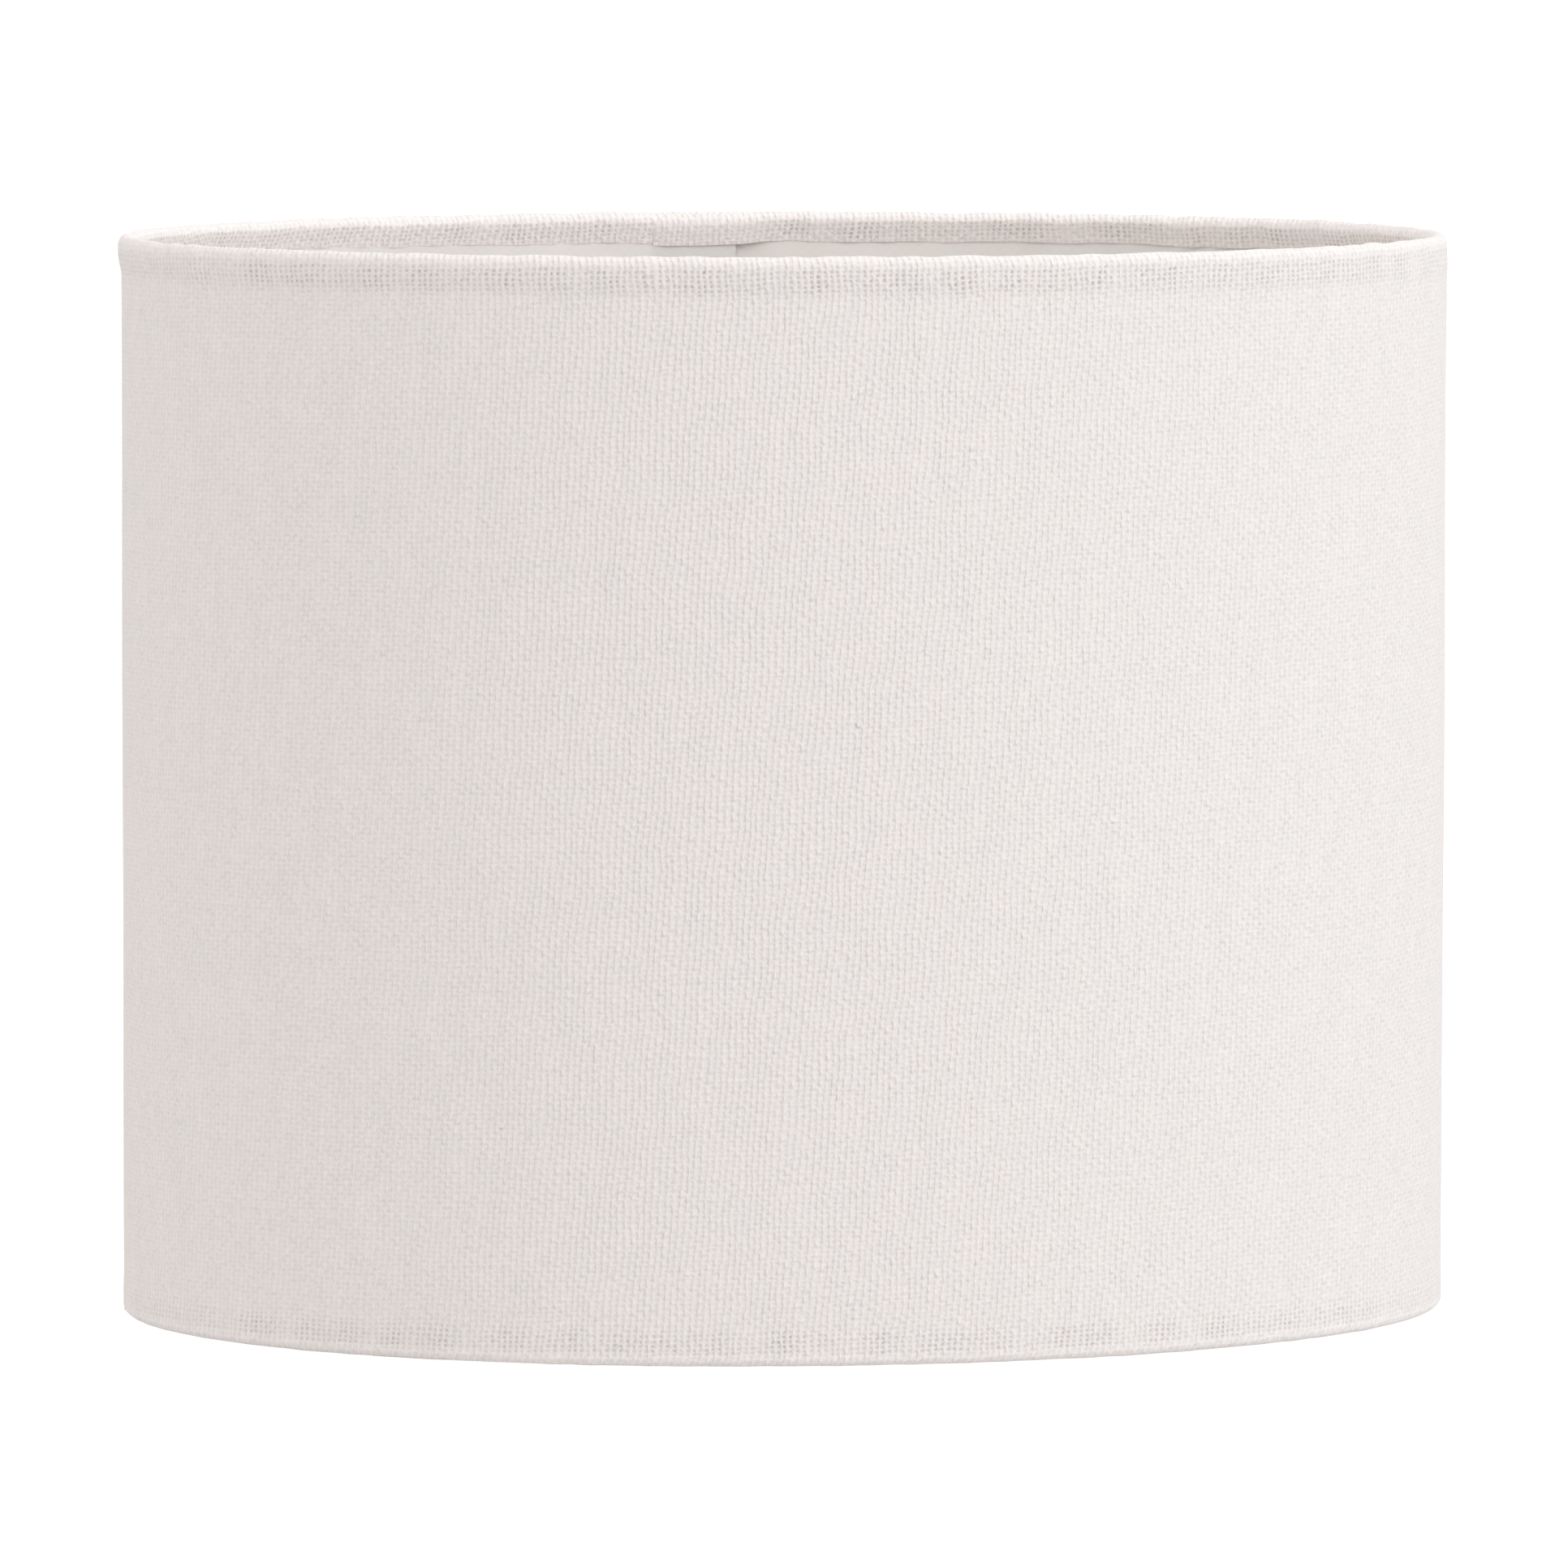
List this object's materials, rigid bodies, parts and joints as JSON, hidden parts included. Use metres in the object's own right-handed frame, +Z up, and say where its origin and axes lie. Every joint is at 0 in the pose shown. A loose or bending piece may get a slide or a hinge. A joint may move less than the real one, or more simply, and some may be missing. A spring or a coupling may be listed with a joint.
{
  "type": "lamp shade",
  "caption": "Oval drum lamp shade: woven fabric on a stiff liner, rolled over wire rims, with a recessed spider fitter at its lower end.",
  "frame": {"origin": "under the middle of the shade, on the surface that its lower hem stands on", "axes": "+Z up, X along the oval's long side, +Y to the back, where the lapped seam is"},
  "size_m": [0.25, 0.175, 0.202],
  "materials": {
    "cover_fabric": "off-white plain-weave linen blend, matt, with slubs",
    "liner_plastic": "satin white laminating sheet",
    "seam_tape": "translucent double-sided adhesive tape",
    "coated_wire": "white epoxy-coated steel",
    "reducer_plastic": "white moulded plastic"
  },
  "bodies": {
    "shade": {"fabric_cover": "cover_fabric", "liner_panel": "liner_plastic", "seam_tape": "seam_tape", "top_ring": "coated_wire", "bottom_ring": "coated_wire", "spider_arm_right": "coated_wire", "spider_arm_back": "coated_wire", "spider_arm_left": "coated_wire", "spider_arm_front": "coated_wire", "fitter_collar": "coated_wire"},
    "reducer": {"reducer_ring": "reducer_plastic"}
  },
  "joints": [
    {"name": "reducer_lift", "type": "slide", "parent": "shade", "child": "reducer", "axis": [0, 0, 1], "range_m": [0, 0.06]}
  ]
}
